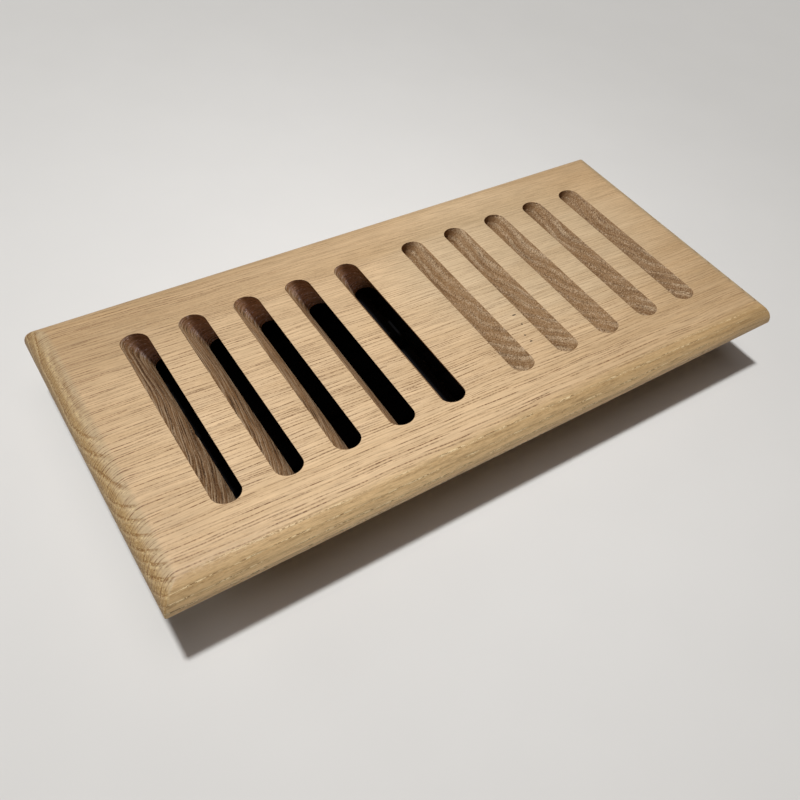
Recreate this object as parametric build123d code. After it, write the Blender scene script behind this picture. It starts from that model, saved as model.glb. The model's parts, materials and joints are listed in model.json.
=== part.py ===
from build123d import *

import os
from math import cos, radians, sin, tan

# Drop-in floor register: a slotted oak face plate over a closed damper of linked steel blades.
# Millimetres. +X runs along the grain, -Y is the front, +Z is up. The origin lies under the middle of the
# damper, so the register stands on Z = 0. The blades are modelled shut and open by turning about +X.

# Duct opening and board
DUCT_LENGTH = 254.0
DUCT_WIDTH = 101.6
DROP_CLEARANCE = 1.6
RIM_OVERHANG_ENDS = 24.6
RIM_OVERHANG_SIDES = 19.8
BOARD_THICKNESS = 19.05
RIM_THICKNESS = 10.0
EDGE_RADIUS = 9.525
EDGE_LAND = 0.4
CORNER_EASE = 0.8
CORE_CORNER = 3.0

# Slots, cut by a tilted router bit in two groups that lean apart
SLOT_PITCH = 24.2
MIDDLE_PITCH = 35.9
CUTTER_WIDTH = 9.525
SLOT_SLANT = 33.4
SLOT_SIDE_WALL = 4.2
SLOT_END_WALL = 4.0

# Damper frame, folded from sheet
FRAME_SHEET = 1.0
BEND_RADIUS = 1.0
BOX_INSET = 2.2
FLANGE_WIDTH = 10.0
FLANGE_INSET = 0.4
RAIL_LIP = 3.0
RAIL_END_GAP = 0.6
TAB_LENGTH = 9.0
TAB_DROP = 2.5

# Blades, rods and bushes
BLADE_COUNT = 6
BLADE_SHEET = 0.8
BLADE_EDGE_GAP = 1.0
BLADE_OVERLAP = 0.6
BLADE_TILT = 6.0
BLADE_OPENING = 76.0
FLOOR_GAP = 0.4
END_FLOAT = 0.7
ROD_RADIUS = 1.5
ROD_STICK_OUT = 1.2
ROD_CHAMFER = 0.375
RUNNING_FIT = 0.05
BUSH_WALL = 1.4
BUSH_FLANGE_RADIUS = 4.2
BUSH_FLANGE = 0.8
BUSH_STICK_OUT = 0.3
SEAT_FIT = 0.03

# Link bar, ears and lever
CRANK_RADIUS = 6.0
CRANK_ANGLE = 50.0
EAR_SHEET = 0.9
EAR_GAP = 0.3
EAR_RADIUS = 1.9
EAR_ROOT_START = 2.8
EAR_ROOT_END = 7.0
LINK_SHEET = 1.0
LINK_LEG = 8.0
LINK_MARGIN = 1.5
LINK_END = 3.0
LINK_CLEARANCE = 0.4
NOTCH_CLEARANCE = 0.5
ROOF_GAP = 0.58
LEVER_SHEET = 1.0
LEVER_WIDTH = 10.0
LEVER_FOOT = 6.0
LEVER_RECESS = 11.0
LEVER_TIP_ROUND = 2.5
LEVER_Y = 10.0
LEVER_RIVET_SETBACK = 4.0

# Fasteners
LINK_RIVET_RADIUS = 1.0
LINK_RIVET_HEAD_RADIUS = 1.7
LINK_RIVET_HEAD = 0.8
LINK_RIVET_FLOAT = 0.1
LEVER_RIVET_SPACING = 6.0
LEVER_RIVET_HEAD = 0.2
CORNER_RIVET_RADIUS = 1.6
CORNER_RIVET_HEAD_RADIUS = 3.0
CORNER_RIVET_HEAD = 1.1
CORNER_RIVET_TAIL = 0.5
CORNER_RIVET_INSET = 5.0
CORNER_RIVET_LOW = 4.0
CORNER_RIVET_BELOW_TAB = 3.05
SCREW_RADIUS = 1.7
SCREW_HOLE_RADIUS = 2.1
SCREW_HEAD_RADIUS = 3.4
SCREW_HEAD = 2.0
SCREW_LENGTH = 12.0
SCREW_POINT = 3.0
SCREW_TIP_RADIUS = 0.425
SCREW_INSET = 16.0
HEAD_ROUNDING = 0.6

# How far a cutter reaches past the sheet that it goes through
HOLE_OVERRUN = 1.0

# Board sizes
core_length = DUCT_LENGTH - 2 * DROP_CLEARANCE
core_width = DUCT_WIDTH - 2 * DROP_CLEARANCE
plate_length = core_length + 2 * RIM_OVERHANG_ENDS
plate_width = core_width + 2 * RIM_OVERHANG_SIDES
edge_radius = min(EDGE_RADIUS, RIM_THICKNESS - EDGE_LAND)
slant = radians(SLOT_SLANT)
slot_length = core_width - 2 * SLOT_SIDE_WALL
slot_opening = CUTTER_WIDTH / cos(slant)
slot_room = core_length / 2 - SLOT_END_WALL - slot_opening / 2 - MIDDLE_PITCH / 2
slots_per_group = int(slot_room / SLOT_PITCH) + 1

# Damper sizes
box_length = core_length - 2 * (FLANGE_WIDTH + FLANGE_INSET)
box_width = core_width - 2 * BOX_INSET
inner_length = box_length - 2 * FRAME_SHEET
inner_width = box_width - 2 * FRAME_SHEET
flange_length = box_width - 2 * BEND_RADIUS
blade_pitch = (inner_width - 2 * BLADE_EDGE_GAP) / BLADE_COUNT
blade_width = blade_pitch + BLADE_OVERLAP
blade_length = inner_length - 2 * (BUSH_FLANGE + END_FLOAT)
blade_rows = [(index - (BLADE_COUNT - 1) / 2) * blade_pitch for index in range(BLADE_COUNT)]
pivot_height = blade_width / 2 + FLOOR_GAP
bush_bore = ROD_RADIUS + RUNNING_FIT
bush_radius = bush_bore + BUSH_WALL

# The link bar's flat leg clears the tips of the open blades, and its upright leg runs in notches in them
closed_crank = radians(CRANK_ANGLE)
open_crank = radians(CRANK_ANGLE + BLADE_OPENING)
open_tilt = radians(BLADE_TILT + BLADE_OPENING)
open_tip = blade_width / 2 * sin(open_tilt)
link_rise = max(open_tip + LINK_CLEARANCE - CRANK_RADIUS * sin(open_crank), LINK_MARGIN)
notch_floor = (CRANK_RADIUS * sin(open_crank) - LINK_MARGIN - LINK_CLEARANCE) / sin(open_tilt)
pin_shift = CRANK_RADIUS * cos(closed_crank)
pin_height = pivot_height + CRANK_RADIUS * sin(closed_crank)
link_top = pin_height + link_rise + LINK_SHEET

# Levels of the stack, from the floor that it stands on
damper_height = pivot_height + CRANK_RADIUS + link_rise + LINK_SHEET + ROOF_GAP
tab_top = damper_height - TAB_DROP
plate_top = damper_height + BOARD_THICKNESS
rim_bottom = plate_top - RIM_THICKNESS

# The lever stands in the innermost slot of the left group, and wanders as much to one side as to the other
lever_slot = -MIDDLE_PITCH / 2
lever_wander = CRANK_RADIUS * (1 - sin(closed_crank)) * tan(slant)
lever_height = plate_top - LEVER_RECESS - link_top
lever_foot_x = lever_slot + (plate_top - link_top - LEVER_SHEET / 2) * tan(slant) - lever_wander / 2
link_face = lever_foot_x + LEVER_SHEET / 2
ear_face = link_face + EAR_GAP


def folded_strip(points, thickness, radius):
    """Section of a sheet that is folded along the given centre line."""
    return trace(FilletPolyline(*points, radius=radius), line_width=thickness)


def bar_along_x(section, length):
    """Section drawn in Y and Z, extruded to both sides of the middle plane."""
    return extrude(Plane.YZ * section, amount=length / 2, both=True)


def bar_along_y(section, length):
    """Section drawn in X and Z, extruded to both sides of the middle plane."""
    return extrude(Plane.XZ * section, amount=length / 2, both=True)


def round_pin(radius, start, end, position):
    """Pin along +X between two stations, on an axis through the given Y and Z."""
    across, height = position
    pin = Cylinder(radius, end - start, rotation=(0, 90, 0))
    return Pos((start + end) / 2, across, height) * pin


def rivet(radius, grip, head_radius, head, tail_radius, tail):
    """Rivet along +Z: head below Z = 0, shank through the grip, set tail above it."""
    shank = Cylinder(radius, grip, align=(Align.CENTER, Align.CENTER, Align.MIN))
    dome = Cylinder(head_radius, head, align=(Align.CENTER, Align.CENTER, Align.MAX))
    dome = fillet(dome.edges().sort_by(Axis.Z)[0], min(HEAD_ROUNDING, head / 2))
    upset = Pos(0, 0, grip) * Cylinder(tail_radius, tail, align=(Align.CENTER, Align.CENTER, Align.MIN))
    return shank + dome + upset


def slot_centres():
    """Slot centres on the top face, with the side that each slot's foot leans to."""
    offsets = [MIDDLE_PITCH / 2 + index * SLOT_PITCH for index in range(slots_per_group)]
    return [(-offset, 1) for offset in offsets] + [(offset, -1) for offset in offsets]


def slot_cutter(centre, lean):
    """Round-ended cutter that enters at the top face and leans towards the board's middle on its way down."""
    axis = (-lean * sin(slant), 0, cos(slant))
    tilted = Plane(origin=(centre, 0, plate_top), x_dir=(0, 1, 0), z_dir=axis)
    return extrude(tilted * SlotOverall(slot_length, CUTTER_WIDTH), amount=2 * BOARD_THICKNESS, both=True)


def rounded_section(width):
    """Rim section with both upper corners rounded over, standing on the rim's underside."""
    section = Pos(0, rim_bottom + RIM_THICKNESS / 2) * Rectangle(width, RIM_THICKNESS)
    return fillet(section.vertices().sort_by(Axis.Y)[-2:], edge_radius)


def screw_places():
    """Screw axes in the end flanges."""
    end = box_length / 2 + FLANGE_WIDTH / 2
    side = flange_length / 2 - SCREW_INSET
    return [(end, side), (end, -side), (-end, side), (-end, -side)]


def face_plate():
    """Oak board: rounded rim with its corners sanded off, rebated core, slanted slots and pilot holes."""
    rim = bar_along_x(rounded_section(plate_width), plate_length)
    rim = rim & bar_along_y(rounded_section(plate_length), plate_width)
    outline = Rectangle(plate_length, plate_width)
    outline = chamfer(outline.vertices(), CORNER_EASE)
    rim = rim & Pos(0, 0, rim_bottom) * extrude(outline, RIM_THICKNESS)
    core = extrude(RectangleRounded(core_length, core_width, CORE_CORNER), BOARD_THICKNESS - RIM_THICKNESS)
    board = rim + Pos(0, 0, damper_height) * core
    for centre, lean in slot_centres():
        board = board - slot_cutter(centre, lean)
    pilot = Cylinder(SCREW_RADIUS + SEAT_FIT, SCREW_LENGTH, align=(Align.CENTER, Align.CENTER, Align.MIN))
    for along, across in screw_places():
        board = board - Pos(along, across, damper_height) * pilot
    return board


def corner_rivet_places():
    """Rivet axes at one corner, as distance in from the end and height."""
    along = inner_length / 2 - CORNER_RIVET_INSET
    return [(along, CORNER_RIVET_LOW), (along, tab_top - CORNER_RIVET_BELOW_TAB)]


def side_rail(side):
    """Side of the damper frame: an upright web with a lip turned in at its foot."""
    web = box_width / 2 - FRAME_SHEET / 2
    lip = FRAME_SHEET / 2
    line = [(web, damper_height), (web, lip), (inner_width / 2 - RAIL_LIP, lip)]
    rail = bar_along_x(folded_strip(line, FRAME_SHEET, BEND_RADIUS), inner_length - 2 * RAIL_END_GAP)
    rivet_hole = Cylinder(CORNER_RIVET_RADIUS + SEAT_FIT, FRAME_SHEET + 2 * HOLE_OVERRUN, rotation=(90, 0, 0))
    for along, height in corner_rivet_places():
        for end in (-1, 1):
            rail = rail - Pos(end * along, web, height) * rivet_hole
    return rail if side > 0 else mirror(rail, about=Plane.XZ)


def end_plate(end):
    """End of the damper frame: web, screw flange turned out at its head and tabs lapped round the rails."""
    web = box_length / 2 - FRAME_SHEET / 2
    tab = box_width / 2 + FRAME_SHEET / 2
    head = damper_height - FRAME_SHEET / 2
    flange_end = box_length / 2 + FLANGE_WIDTH
    side_view = folded_strip([(web, 0), (web, head), (flange_end, head)], FRAME_SHEET, BEND_RADIUS)
    tab_end = inner_length / 2 - TAB_LENGTH
    plan_line = [(tab_end, tab), (web, tab), (web, -tab), (tab_end, -tab)]
    plan = folded_strip(plan_line, FRAME_SHEET, BEND_RADIUS)
    plate = bar_along_y(side_view, flange_length) + extrude(plan, tab_top)
    hole_start = inner_length / 2 - HOLE_OVERRUN
    hole_end = box_length / 2 + HOLE_OVERRUN
    for row in blade_rows:
        plate = plate - round_pin(bush_radius + SEAT_FIT, hole_start, hole_end, (row, pivot_height))
    screw_hole = Cylinder(SCREW_HOLE_RADIUS, FRAME_SHEET + 2 * HOLE_OVERRUN)
    for along, across in screw_places():
        plate = plate - Pos(along, across, head) * screw_hole
    rivet_hole_length = 2 * (tab + FRAME_SHEET / 2 + HOLE_OVERRUN)
    rivet_hole = Cylinder(CORNER_RIVET_RADIUS + SEAT_FIT, rivet_hole_length, rotation=(90, 0, 0))
    for along, height in corner_rivet_places():
        plate = plate - Pos(along, 0, height) * rivet_hole
    return plate if end > 0 else mirror(plate, about=Plane.YZ)


def corner_rivets():
    """Two rivets at each corner, through the end plate's tab and the rail."""
    one = rivet(CORNER_RIVET_RADIUS, 2 * FRAME_SHEET, CORNER_RIVET_HEAD_RADIUS, CORNER_RIVET_HEAD,
                CORNER_RIVET_RADIUS + CORNER_RIVET_TAIL, CORNER_RIVET_TAIL)
    outer_face = box_width / 2 + FRAME_SHEET
    placed = []
    for along, height in corner_rivet_places():
        for end in (-1, 1):
            placed.append(Pos(end * along, outer_face, height) * Rot(90, 0, 0) * one)
            placed.append(Pos(end * along, -outer_face, height) * Rot(-90, 0, 0) * one)
    return Compound(children=placed)


def frame_screws():
    """Pan-head wood screws, driven up through the end flanges into the core."""
    head_seat = damper_height - FRAME_SHEET
    shank = SCREW_LENGTH - SCREW_POINT
    head = Cylinder(SCREW_HEAD_RADIUS, SCREW_HEAD, align=(Align.CENTER, Align.CENTER, Align.MAX))
    head = fillet(head.edges().sort_by(Axis.Z)[0], HEAD_ROUNDING)
    body = Cylinder(SCREW_RADIUS, shank, align=(Align.CENTER, Align.CENTER, Align.MIN))
    point = Cone(SCREW_RADIUS, SCREW_TIP_RADIUS, SCREW_POINT, align=(Align.CENTER, Align.CENTER, Align.MIN))
    screw = head + body + Pos(0, 0, shank) * point
    return Compound(children=[Pos(along, across, head_seat) * screw for along, across in screw_places()])


def pivot_bushes(end):
    """Flanged bushes in one end plate, flange inwards."""
    inner_face = inner_length / 2 - BUSH_FLANGE
    outer_face = box_length / 2 + BUSH_STICK_OUT
    placed = []
    for row in blade_rows:
        place = (row, pivot_height)
        flange = round_pin(BUSH_FLANGE_RADIUS, inner_face, inner_length / 2, place)
        sleeve = round_pin(bush_radius, inner_face, outer_face, place)
        bore = round_pin(bush_bore, inner_face - HOLE_OVERRUN, outer_face + HOLE_OVERRUN, place)
        bush = flange + sleeve - bore
        placed.append(bush if end > 0 else mirror(bush, about=Plane.YZ))
    return Compound(children=placed)


def pivot_rod(row):
    """Rod that one blade turns on, through both bushes."""
    reach = box_length / 2 + BUSH_STICK_OUT + ROD_STICK_OUT
    rod = round_pin(ROD_RADIUS, -reach, reach, (row, pivot_height))
    return chamfer(rod.edges().filter_by(GeomType.CIRCLE), ROD_CHAMFER)


def blade_section():
    """Flat wings either side of a half-round bead that lies over the rod."""
    bead_bore = ROD_RADIUS + RUNNING_FIT
    bead = Circle(bead_bore + BLADE_SHEET) & Pos(0, blade_width / 2 - BLADE_SHEET / 2) * Rectangle(
        blade_width, blade_width)
    return Rectangle(blade_width, BLADE_SHEET) + bead - Circle(bead_bore)


def crank_ear():
    """Ear that carries the link rivet, standing across the blade."""
    reach = radians(CRANK_ANGLE - BLADE_TILT)
    pin = (CRANK_RADIUS * cos(reach), CRANK_RADIUS * sin(reach))
    eye = Pos(*pin) * Circle(EAR_RADIUS)
    root = Line((EAR_ROOT_START, 0), (EAR_ROOT_END, 0))
    tab = make_hull(eye.edges() + root.edges())
    tab = tab - Pos(*pin) * Circle(LINK_RIVET_RADIUS + RUNNING_FIT)
    return Pos(ear_face, 0, 0) * extrude(Plane.YZ * tab, EAR_SHEET)


def blade(row):
    """Blade with its notch for the link bar and its ear, tilted shut on its rod."""
    sheet = bar_along_x(blade_section(), blade_length)
    notch_width = LINK_SHEET + 2 * NOTCH_CLEARANCE
    notch = Box(notch_width, blade_width, blade_width, align=(Align.CENTER, Align.MIN, Align.CENTER))
    sheet = sheet - Pos(link_face - LINK_SHEET / 2, notch_floor, 0) * notch
    return Pos(0, row, pivot_height) * Rot(BLADE_TILT, 0, 0) * (sheet + crank_ear())


def link_pins():
    """Y of each link rivet with the blades shut."""
    return [row + pin_shift for row in blade_rows]


def link_bar():
    """Folded angle: an upright leg with the rivet holes and a flat leg that carries the lever."""
    web = link_face - LINK_SHEET / 2
    flat = link_top - LINK_SHEET / 2
    line = [(web, pin_height - LINK_MARGIN), (web, flat), (link_face - LINK_LEG, flat)]
    pins = link_pins()
    length = pins[-1] - pins[0] + 2 * LINK_END
    bar = bar_along_y(folded_strip(line, LINK_SHEET, BEND_RADIUS), length)
    bar = Pos(0, (pins[0] + pins[-1]) / 2, 0) * bar
    rivet_hole = LINK_RIVET_RADIUS + SEAT_FIT
    for across in pins:
        bar = bar - round_pin(rivet_hole, web - LINK_SHEET, web + LINK_SHEET, (across, pin_height))
    for along, across in lever_rivet_places():
        bar = bar - Pos(along, across, flat) * Cylinder(rivet_hole, 2 * LINK_SHEET)
    return bar


def link_rivets():
    """Shouldered rivets that pin the link bar to the ears."""
    grip = LINK_SHEET + EAR_GAP + EAR_SHEET + LINK_RIVET_FLOAT
    one = rivet(LINK_RIVET_RADIUS, grip, LINK_RIVET_HEAD_RADIUS, LINK_RIVET_HEAD,
                LINK_RIVET_HEAD_RADIUS, LINK_RIVET_HEAD)
    start = link_face - LINK_SHEET
    return Compound(children=[Pos(start, across, pin_height) * Rot(0, 90, 0) * one for across in link_pins()])


def lever_rivet_places():
    """Axes of the two rivets through the lever's foot."""
    along = lever_foot_x - LEVER_RIVET_SETBACK
    return [(along, LEVER_Y - LEVER_RIVET_SPACING / 2), (along, LEVER_Y + LEVER_RIVET_SPACING / 2)]


def thumb_lever():
    """Folded tab: a foot on the link bar's flat leg and a riser that leans as the slot does."""
    sole = link_top + LEVER_SHEET / 2
    tip = (lever_foot_x - lever_height * tan(slant), sole + lever_height)
    line = [(lever_foot_x - LEVER_FOOT, sole), (lever_foot_x, sole), tip]
    lever = bar_along_y(folded_strip(line, LEVER_SHEET, BEND_RADIUS), LEVER_WIDTH)
    corners = lever.edges().filter_by(lambda edge: edge.center().Z > sole + lever_height / 2)
    corners = corners.filter_by(lambda edge: edge.length < 2 * LEVER_SHEET).filter_by(Axis.Y, reverse=True)
    lever = fillet(corners, LEVER_TIP_ROUND)
    lever = Pos(0, LEVER_Y, 0) * lever
    for along, across in lever_rivet_places():
        lever = lever - Pos(along, across, sole) * Cylinder(LINK_RIVET_RADIUS + SEAT_FIT, 2 * LEVER_SHEET)
    return lever


def lever_rivets():
    """Rivets through the link bar's flat leg and the lever's foot."""
    one = rivet(LINK_RIVET_RADIUS, LINK_SHEET + LEVER_SHEET, LINK_RIVET_HEAD_RADIUS, LEVER_RIVET_HEAD,
                LINK_RIVET_HEAD_RADIUS, LINK_RIVET_HEAD)
    seat = link_top - LINK_SHEET
    return Compound(children=[Pos(along, across, seat) * one for along, across in lever_rivet_places()])


def all_pieces():
    """Every piece of the register under its node name."""
    pieces = {
        "face_plate": face_plate(),
        "front_rail": side_rail(-1),
        "rear_rail": side_rail(1),
        "left_end_plate": end_plate(-1),
        "right_end_plate": end_plate(1),
        "corner_rivets": corner_rivets(),
        "frame_screws": frame_screws(),
        "left_bushes": pivot_bushes(-1),
        "right_bushes": pivot_bushes(1),
        "link_bar": link_bar(),
        "link_rivets": link_rivets(),
        "thumb_lever": thumb_lever(),
        "lever_rivets": lever_rivets(),
    }
    for number, row in enumerate(blade_rows, start=1):
        pieces[f"blade_{number}"] = blade(row)
        pieces[f"pivot_rod_{number}"] = pivot_rod(row)
    return pieces


os.makedirs("parts", exist_ok=True)
for name, piece in all_pieces().items():
    export_step(piece, f"parts/{name}.step")
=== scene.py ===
"""Looks of the drop-in floor register: a slotted oak board over a black damper of linked blades."""
import json
import math
import random

import bmesh
import bpy
from mathutils import Euler, Matrix, Vector


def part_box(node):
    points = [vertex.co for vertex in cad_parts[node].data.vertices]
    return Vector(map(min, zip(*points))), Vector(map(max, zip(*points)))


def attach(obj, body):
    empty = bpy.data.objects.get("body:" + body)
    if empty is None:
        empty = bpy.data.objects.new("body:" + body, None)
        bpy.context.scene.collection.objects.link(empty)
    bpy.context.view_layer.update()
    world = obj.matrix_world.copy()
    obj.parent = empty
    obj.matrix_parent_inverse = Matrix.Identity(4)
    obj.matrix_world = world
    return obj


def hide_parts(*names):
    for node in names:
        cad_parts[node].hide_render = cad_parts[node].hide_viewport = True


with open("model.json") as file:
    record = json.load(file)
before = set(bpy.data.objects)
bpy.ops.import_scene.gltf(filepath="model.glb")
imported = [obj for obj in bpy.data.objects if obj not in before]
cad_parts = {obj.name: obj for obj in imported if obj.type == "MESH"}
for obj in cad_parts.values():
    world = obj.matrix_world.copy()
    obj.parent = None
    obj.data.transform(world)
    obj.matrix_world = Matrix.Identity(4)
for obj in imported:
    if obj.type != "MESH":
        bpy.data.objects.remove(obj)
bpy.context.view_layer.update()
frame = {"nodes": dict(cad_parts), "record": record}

MM = 0.001

# The board, from its box and from the rim mount
board_low, board_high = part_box("face_plate")
rim_mount = next(mount for mount in frame["record"]["mounts"] if mount["name"] == "rim_underside")
rim_bottom = rim_mount["pos_m"][2]
CORE_LENGTH = 250.8 * MM
CORE_WIDTH = 98.4 * MM
CORE_CORNER = 3.0 * MM
EDGE_RADIUS = 9.525 * MM
EDGE_STEPS = 18
CORNER_EASE = 0.8 * MM
CORNER_STEPS = 8
ARRIS = 0.25 * MM
SLOT_ARRIS = 0.08 * MM

# The slots, in two groups that lean apart
SLOTS_PER_GROUP = 5
SLOT_PITCH = 24.2 * MM
MIDDLE_PITCH = 35.9 * MM
SLOT_LENGTH = 90.0 * MM
CUTTER_WIDTH = 9.525 * MM
SLOT_SLANT = math.radians(33.4)
SLOT_END_STEPS = 24
ARRIS_STEPS = 3
OVERCUT = 2.0 * MM

# Splinters torn out of the slots' lower edges: slot number from the left, place along Y, length
CHIPS = [(1, 1.2 * MM, 4.2 * MM), (3, 37.4 * MM, 3.2 * MM)]

# A splinter's depth and height as shares of its length, and how far its surface is drawn in or out
CHIP_DEPTH = 0.45
CHIP_HEIGHT = 0.8
CHIP_RAGGED = (0.75, 1.1)
CHIP_SEED = 7

# Meshes: points nearer than this are one, and edges that turn harder than this stay sharp
WELD = 0.001 * MM
SHEET_WELD = 0.002 * MM
SHARP_ANGLE = math.radians(28)

# Studio: a lamp over the board, a little to its left, a weak light from behind, a soft panel, an even fill
LAMP_PLACE = (-0.57, 0.34, 3.6)
LAMP_RADIUS = 0.16
LAMP_POWER = 446.0
BACK_PLACE = (-0.9, 0.8, 0.65)
BACK_SIZE = 0.6
BACK_POWER = 1.7
PANEL_PLACE = (0.0, -0.2, 2.4)
PANEL_SIZE = 1.6
PANEL_POWER = 9.8
PANEL_COLOUR = (1.0, 0.87, 0.8)
FILL_COLOUR = (1.0, 0.86, 0.83, 1.0)
FILL_STRENGTH = 0.034

# Floor of pale paper, palest round its middle, and the distances over which painted shade darkens it
FLOOR_HALF_WIDTH = 3.0
FLOOR_MIDDLE = (0.0, 0.03, 0.0)
FLOOR_SHADE_REACH = (-0.1, 0.4)
FLOOR_SHADE_CAST = (0.7, 0.7, 0.695, 1.0)

# Camera at the photograph's viewpoint
CAMERA_PLACE = (-177.77 * MM, -194.88 * MM, 280.56 * MM)
CAMERA_YAW = math.radians(40.885)
CAMERA_LOOK_DOWN = math.radians(48.695)
CAMERA_ROLL = math.radians(9.835)
CAMERA_LENS = 37.544
SENSOR_WIDTH = 36.0


class Wire:
    """A socket of a node tree. Arithmetic on it adds Math nodes."""

    def __init__(self, graph, socket):
        self.graph = graph
        self.socket = socket

    def __add__(self, other):
        return self.graph.math("ADD", self, other)

    def __sub__(self, other):
        return self.graph.math("SUBTRACT", self, other)

    def __mul__(self, other):
        return self.graph.math("MULTIPLY", self, other)

    def __truediv__(self, other):
        return self.graph.math("DIVIDE", self, other)

    def __radd__(self, other):
        return self.graph.math("ADD", other, self)

    def __rsub__(self, other):
        return self.graph.math("SUBTRACT", other, self)

    def __rmul__(self, other):
        return self.graph.math("MULTIPLY", other, self)


class Graph:
    """Adds nodes to one shader or geometry tree."""

    def __init__(self, tree):
        self.tree = tree

    def node(self, kind, settings=None, inputs=None, output=0):
        """A node with its settings set first, then its sockets filled or linked. Gives one output."""
        made = self.tree.nodes.new(kind)
        for name, value in (settings or {}).items():
            setattr(made, name, value)
        for name, value in (inputs or {}).items():
            for one in value if isinstance(value, list) else [value]:
                if isinstance(one, Wire):
                    self.tree.links.new(one.socket, made.inputs[name])
                else:
                    made.inputs[name].default_value = one
        return Wire(self, made.outputs[output])

    def math(self, operation, *values):
        """Math node on up to three numbers or wires."""
        return self.node("ShaderNodeMath", {"operation": operation}, dict(enumerate(values)))

    def fade(self, value, start, end):
        """Smooth step from 0 at start to 1 at end."""
        return self.node("ShaderNodeMapRange", {"interpolation_type": "SMOOTHSTEP"},
                         {"Value": value, "From Min": start, "From Max": end})

    def place(self):
        """Place on the piece, in metres."""
        return self.node("ShaderNodeTexCoord", None, None, "Object")

    def vector(self, x, y, z):
        """Vector of three numbers or wires."""
        return self.node("ShaderNodeCombineXYZ", None, {"X": x, "Y": y, "Z": z})

    def split(self, vector):
        """The three numbers of a vector."""
        parts = self.node("ShaderNodeSeparateXYZ", None, {"Vector": vector})
        return [Wire(self, socket) for socket in parts.socket.node.outputs]

    def mix(self, factor, low, high):
        """Colour between two colours."""
        return self.node("ShaderNodeMix", {"data_type": "RGBA"}, {0: factor, 6: low, 7: high}, 2)

    def tint(self, factor, colour, cast):
        """Colour multiplied by a cast."""
        return self.node("ShaderNodeMix", {"data_type": "RGBA", "blend_type": "MULTIPLY"},
                         {0: factor, 6: colour, 7: cast}, 2)

    def noise(self, place, detail, roughness=0.5, scale=1.0):
        """Soft noise from 0 to 1."""
        return self.node("ShaderNodeTexNoise", None,
                         {"Vector": place, "Scale": scale, "Detail": detail, "Roughness": roughness})


def paint(red, green, blue):
    """Colour from the usual 0 to 255 screen values."""
    levels = [level / 255 for level in (red, green, blue)]
    linear = [level / 12.92 if level <= 0.04045 else ((level + 0.055) / 1.055) ** 2.4 for level in levels]
    return (*linear, 1.0)


def new_material(name, specular, settings=None):
    """Empty principled material, its graph and a function that fills the shader's sockets."""
    material = bpy.data.materials.new(name)
    material.use_nodes = True
    shader = material.node_tree.nodes["Principled BSDF"]
    shader.inputs["Specular IOR Level"].default_value = specular
    for socket, value in (settings or {}).items():
        shader.inputs[socket].default_value = value
    graph = Graph(material.node_tree)

    def finish(**sockets):
        for socket, wire in sockets.items():
            graph.tree.links.new(wire.socket, shader.inputs[socket.replace("_", " ")])

    return material, graph, finish


# Oak, in millimetres: rings about a pith that lies behind and above the board, rays that run out from it
FACE_HEIGHT = board_high.z / MM
PITH_Y = 30.0
PITH_HEIGHT = 125.0
PITH_DRIFT = -0.03
RING_WIDTH = 3.5
RING_SWAY = 6.0
RING_WOBBLE = 0.8
RING_UNEVEN = 4.0
RAY_LENGTH = 48.0
RAY_SPACING = 1.15
RAY_DEPTH = 22.0
RAY_THICKNESS = 0.29
RAY_BEND = 1.6
PORE_LENGTH = 1.7
PORE_SPACING = 0.8
GRAIN_RELIEF = 0.15

# Painted sheen: the board's palest spot, where the grain's sheen is brightest, and the turn of the pale
# streak that runs back from it
SHEEN_X = -90.0
SHEEN_Y = -40.0
SHEEN_TURN = math.radians(23)

# A greyer, bluer area among the right-hand slots: its middle and its half lengths
GREYER_X = 65.0
GREYER_Y = 15.0
GREYER_LENGTH = 75.0
GREYER_WIDTH = 50.0

# Dark specks of dirt on the top face: place along X and Y, length along X, width
SPECKS = [(32.8, -16.5, 2.4, 0.9), (32.4, -22.6, 1.1, 1.0),
          (29.3, -28.5, 1.0, 1.0), (29.4, -32.5, 1.6, 1.0)]

# Colours of the planed faces, their ends and the front edge, and casts that multiply them
# The top face runs between these two colours with its painted sheen and random drifts of tone
FACE_PALE = paint(218, 188, 148)
FACE_DEEP = paint(174, 145, 107)
FACE_RAY = paint(110, 72, 38)
FACE_DIRT = paint(62, 50, 40)
GREYER_CAST = (0.99, 1.05, 1.12, 1.0)
UNDERSIDE_SHADE_CAST = (0.8, 0.77, 0.74, 1.0)
SOFT_BAND = paint(158, 119, 66)
DASH_PALE = paint(232, 209, 162)
DASH_DARK = paint(106, 75, 38)
END_SHEEN_CREAM = paint(178, 158, 124)
END_GRAIN = paint(172, 141, 93)
END_STRING = paint(130, 94, 48)
END_DUST = paint(228, 206, 162)
END_PORE_PALE = paint(226, 203, 152)
END_PORE_DARK = paint(112, 78, 38)
END_FOOT_CAST = (0.8, 0.79, 0.77, 1.0)
END_BACK_CAST = (0.86, 0.85, 0.85, 1.0)
EDGE_STREAK = paint(140, 106, 62)
EDGE_PALE = paint(244, 222, 176)
EDGE_DARK = paint(122, 88, 44)
EDGE_GOLD_AND_SHADE = (0.94, 0.91, 0.79, 1.0)
EDGE_FOOT_PAINTED_LIGHT = (1.32, 1.34, 1.36, 1.0)
EDGE_RIGHT_PAINTED_LIGHT = (1.08, 1.08, 1.08, 1.0)

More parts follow.
